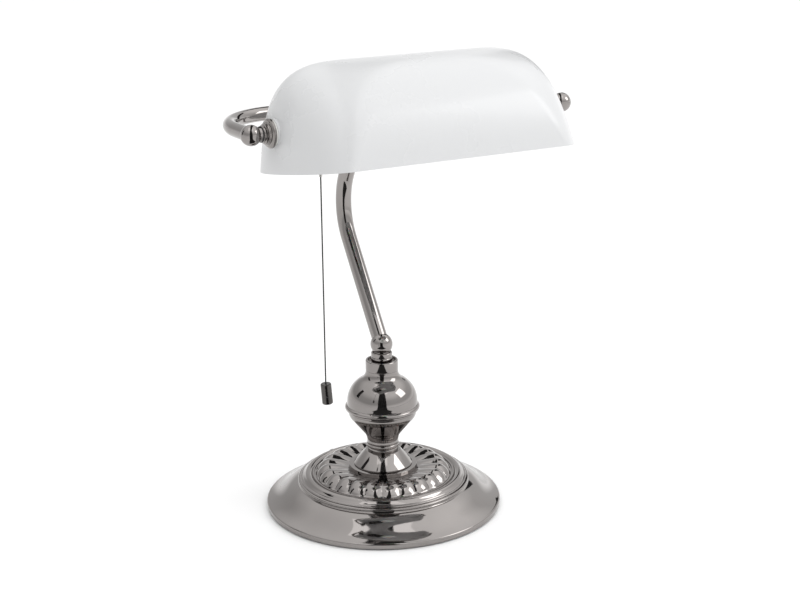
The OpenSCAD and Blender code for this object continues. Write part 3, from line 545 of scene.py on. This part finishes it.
def bump(t, fac, strength, distance, shader):
    b = t.nodes.new("ShaderNodeBump")
    b.inputs["Strength"].default_value = strength
    b.inputs["Distance"].default_value = distance
    t.links.new(fac, b.inputs["Height"])
    t.links.new(b.outputs[0], shader.inputs["Normal"])


def surface(name, a, b, scale, rough, metallic=0.0, grain=(900, 0.05, 0.00002), stretch=None, **extra):
    """Colour that drifts between a and b, roughness over a range, and fine grain as bump"""
    mat, t, shader, where = tree(name)
    t.links.new(ramp(t, noise(t, where, scale), a, b), shader.inputs["Base Color"])
    t.links.new(span(t, noise(t, where, scale * 4, 5.0, stretch), *rough), shader.inputs["Roughness"])
    shader.inputs["Metallic"].default_value = metallic
    bump(t, noise(t, where, grain[0], 4.0, stretch), grain[1], grain[2], shader)
    for key, value in extra.items():
        shader.inputs[key.replace("_", " ")].default_value = value
    return mat


NICKEL = ((0.265, 0.248, 0.24), (0.315, 0.296, 0.286))
nickel = surface("black_nickel", *NICKEL, 14, (0.04, 0.08), 1.0, (1400, 0.02, 0.00001))
nickel_worn = surface("black_nickel_turned", (0.24, 0.225, 0.215), (0.3, 0.28, 0.27), 20, (0.09, 0.16), 1.0,
                      (500, 0.05, 0.00001), (1, 1, 8))
steel = surface("zinc_steel", (0.45, 0.44, 0.42), (0.58, 0.57, 0.55), 60, (0.25, 0.4), 1.0, (700, 0.15, 0.00003))
iron = surface("cast_iron", (0.03, 0.03, 0.032), (0.07, 0.068, 0.066), 90, (0.6, 0.85), 0.4, (350, 0.6, 0.0003))
felt = surface("felt", (0.012, 0.012, 0.013), (0.03, 0.03, 0.032), 260, (0.85, 1.0), 0.0, (1800, 0.9, 0.0003),
               Sheen_Weight=0.3)
rubber = surface("rubber", (0.015, 0.015, 0.015), (0.03, 0.03, 0.03), 120, (0.5, 0.7), 0.0, (900, 0.2, 0.00004))
phenolic = surface("black_phenolic", (0.012, 0.011, 0.011), (0.028, 0.026, 0.025), 40, (0.18, 0.32), 0.0,
                   (600, 0.08, 0.00002))
ceramic = surface("ceramic", (0.72, 0.69, 0.62), (0.82, 0.79, 0.73), 60, (0.25, 0.4), 0.0, (300, 0.1, 0.00003))
brass = surface("brass", (0.62, 0.42, 0.16), (0.74, 0.53, 0.24), 70, (0.18, 0.3), 1.0, (900, 0.1, 0.00002))
alu = surface("bulb_metal", (0.62, 0.62, 0.61), (0.76, 0.76, 0.75), 70, (0.22, 0.35), 1.0, (900, 0.1, 0.00002))
nylon = surface("nylon_washer", (0.62, 0.62, 0.59), (0.74, 0.74, 0.71), 90, (0.4, 0.55), 0.0, (700, 0.15, 0.00003))
frosted = surface("frosted_bulb", (0.78, 0.78, 0.75), (0.86, 0.86, 0.83), 30, (0.3, 0.42), 0.0,
                  (1500, 0.05, 0.00001), Subsurface_Weight=0.4, Subsurface_Scale=0.002)
opal = surface("opal_glass", (0.592, 0.597, 0.603), (0.602, 0.607, 0.613), 5, (0.26, 0.3), 0.0,
               (160, 0.02, 0.00002), Coat_Weight=0.1, Coat_Roughness=0.06, IOR=1.45)
weight_finish = surface("weight_nickel", (0.07, 0.066, 0.064), (0.11, 0.104, 0.1), 60, (0.16, 0.24), 1.0,
                        (900, 0.05, 0.00001), (1, 1, 6))


def braid(name):
    """Black cord of fine crossing strands"""
    mat, t, shader, where = tree(name)
    m = t.nodes.new("ShaderNodeMapping")
    m.inputs["Rotation"].default_value = (0.6, 0.5, 0)
    t.links.new(where, m.inputs["Vector"])
    w = t.nodes.new("ShaderNodeTexWave")
    w.inputs["Scale"].default_value = 900
    w.inputs["Distortion"].default_value = 1.5
    t.links.new(m.outputs[0], w.inputs["Vector"])
    t.links.new(ramp(t, w.outputs["Fac"], (0.004, 0.004, 0.005), (0.02, 0.019, 0.019)), shader.inputs["Base Color"])
    t.links.new(span(t, noise(t, where, 700), 0.6, 0.85), shader.inputs["Roughness"])
    bump(t, w.outputs["Fac"], 0.5, 0.00008, shader)
    return mat


braided = braid("black_braid")

FINISH = {
    "felt_pad": felt, "base_weight": iron, "cord_gland": rubber, "base_nut": steel, "base_washer": steel,
    "threaded_rod": steel, "grub_screw": steel, "stud_left": steel, "stud_right": steel, "stud_nuts": steel,
    "ring_nuts": steel, "friction_washers": rubber, "holder_cap": phenolic, "holder_shell": phenolic,
    "switch_housing": phenolic, "holder_insert": ceramic, "screw_sleeve": brass, "centre_contact": brass,
    "bulb_cap": alu, "bulb_globe": frosted, "switch_bush": nickel_worn, "return_spring": steel,
    "switch_plunger": steel, "cord_link": steel, "cord_ferrule": steel, "glass_shade": opal,
    "outer_washers": nylon, "inner_washers": nylon, "pull_cord": braided, "cord_weight": weight_finish,
    "weight_pin": rubber, "finial_left": nickel_worn, "finial_right": nickel_worn,
}


def paint(obj, mat):
    obj.data.materials.clear()
    obj.data.materials.append(mat)


for name, obj in nodes.items():
    paint(obj, FINISH.get(name, nickel))
for obj in list(bpy.context.scene.objects):
    for name in obj.get("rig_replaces", []):
        paint(obj, FINISH.get(name, nickel))

# ---------- floor and light ----------


def panel(name, at, to, size, power, colour=(1, 1, 1)):
    data = bpy.data.lights.new(name, "AREA")
    data.shape = "RECTANGLE"
    data.size, data.size_y = size
    data.energy = power
    data.color = colour
    obj = bpy.data.objects.new(name, data)
    obj.location = at
    obj.rotation_euler = (Vector(to) - Vector(at)).to_track_quat("-Z", "Y").to_euler()
    obj.visible_camera = False
    bpy.context.scene.collection.objects.link(obj)
    return obj


bm = bmesh.new()
bmesh.ops.create_circle(bm, cap_ends=True, segments=96, radius=40)
floor_mesh = bpy.data.meshes.new("floor")
bm.to_mesh(floor_mesh)
bm.free()
floor = bpy.data.objects.new("floor", floor_mesh)
bpy.context.scene.collection.objects.link(floor)
paint(floor, surface("pale_floor", (0.88, 0.88, 0.88), (0.90, 0.90, 0.90), 3, (0.5, 0.6), 0.0, (60, 0.02, 0.0001)))

panel("overhead", (-0.3, -0.4, 2.4), (0, 0, 0), (1.6, 1.6), 5)
panel("right_box", (1.3, -0.9, 1.3), (0, 0, 0.25), (0.9, 0.9), 8)


def ribbon(name, degrees, width, path):
    """A black card bent along (distance, height) points in m, seen only in the metal's reflections"""
    a = math.radians(degrees)
    out, side = Vector((math.cos(a), math.sin(a), 0)), Vector((-math.sin(a), math.cos(a), 0))
    verts = [(out * d + side * k * width / 2 + Vector((0, 0, z))) * 1000 for d, z in path for k in (-1, 1)]
    obj = add(name, verts, [(2 * i, 2 * i + 1, 2 * i + 3, 2 * i + 2) for i in range(len(path) - 1)], smooth=False)
    paint(obj, card_black)
    obj.visible_camera = obj.visible_diffuse = obj.visible_shadow = obj.visible_transmission = False
    return obj


card_black = surface("card_black", (0.008, 0.008, 0.008), (0.014, 0.014, 0.014), 5, (0.8, 0.9))
ribbon("card_front", 241, 0.3, [(0.13, 0.002), (0.5, 0.002), (0.6, 0.1), (0.6, 1.2), (0.3, 1.4), (-0.45, 1.4),
                                (-1.5, 1.1)])
ribbon("card_back_left", 146, 0.2, [(0.9, 0.32), (0.9, 0.9)])
ribbon("card_back_right", 40, 0.2, [(0.9, 0.32), (0.9, 0.9)])

world = bpy.data.worlds.new("studio")
bpy.context.scene.world = world
world.use_nodes = True
w = world.node_tree
back = w.nodes["Background"]
coord = w.nodes.new("ShaderNodeTexCoord")
split = w.nodes.new("ShaderNodeSeparateXYZ")
w.links.new(coord.outputs["Generated"], split.inputs[0])
dome = w.nodes.new("ShaderNodeValToRGB")
dome.color_ramp.elements[0].position = 0.0
dome.color_ramp.elements[0].color = (0.9, 0.9, 0.9, 1)
dome.color_ramp.elements[1].position = 1.0
dome.color_ramp.elements[1].color = (1, 1, 1, 1)
for place, grey in ((0.06, 0.85), (0.2, 0.55), (0.45, 0.6), (0.7, 0.95)):
    e = dome.color_ramp.elements.new(place)
    e.color = (grey, grey, grey, 1)
w.links.new(split.outputs["Z"], dome.inputs[0])
across = w.nodes.new("ShaderNodeVectorMath")
across.operation = "DOT_PRODUCT"
across.inputs[1].default_value = (0.878, -0.479, 0)
w.links.new(coord.outputs["Generated"], across.inputs[0])
side_light = w.nodes.new("ShaderNodeMapRange")
side_light.inputs["From Min"].default_value = -0.6
side_light.inputs["From Max"].default_value = 0.6
side_light.inputs["To Min"].default_value = 1.15
side_light.inputs["To Max"].default_value = 1.6
w.links.new(across.outputs["Value"], side_light.inputs["Value"])
w.links.new(side_light.outputs[0], back.inputs["Strength"])
w.links.new(dome.outputs[0], back.inputs["Color"])
bpy.context.scene.view_settings.view_transform = "Standard"
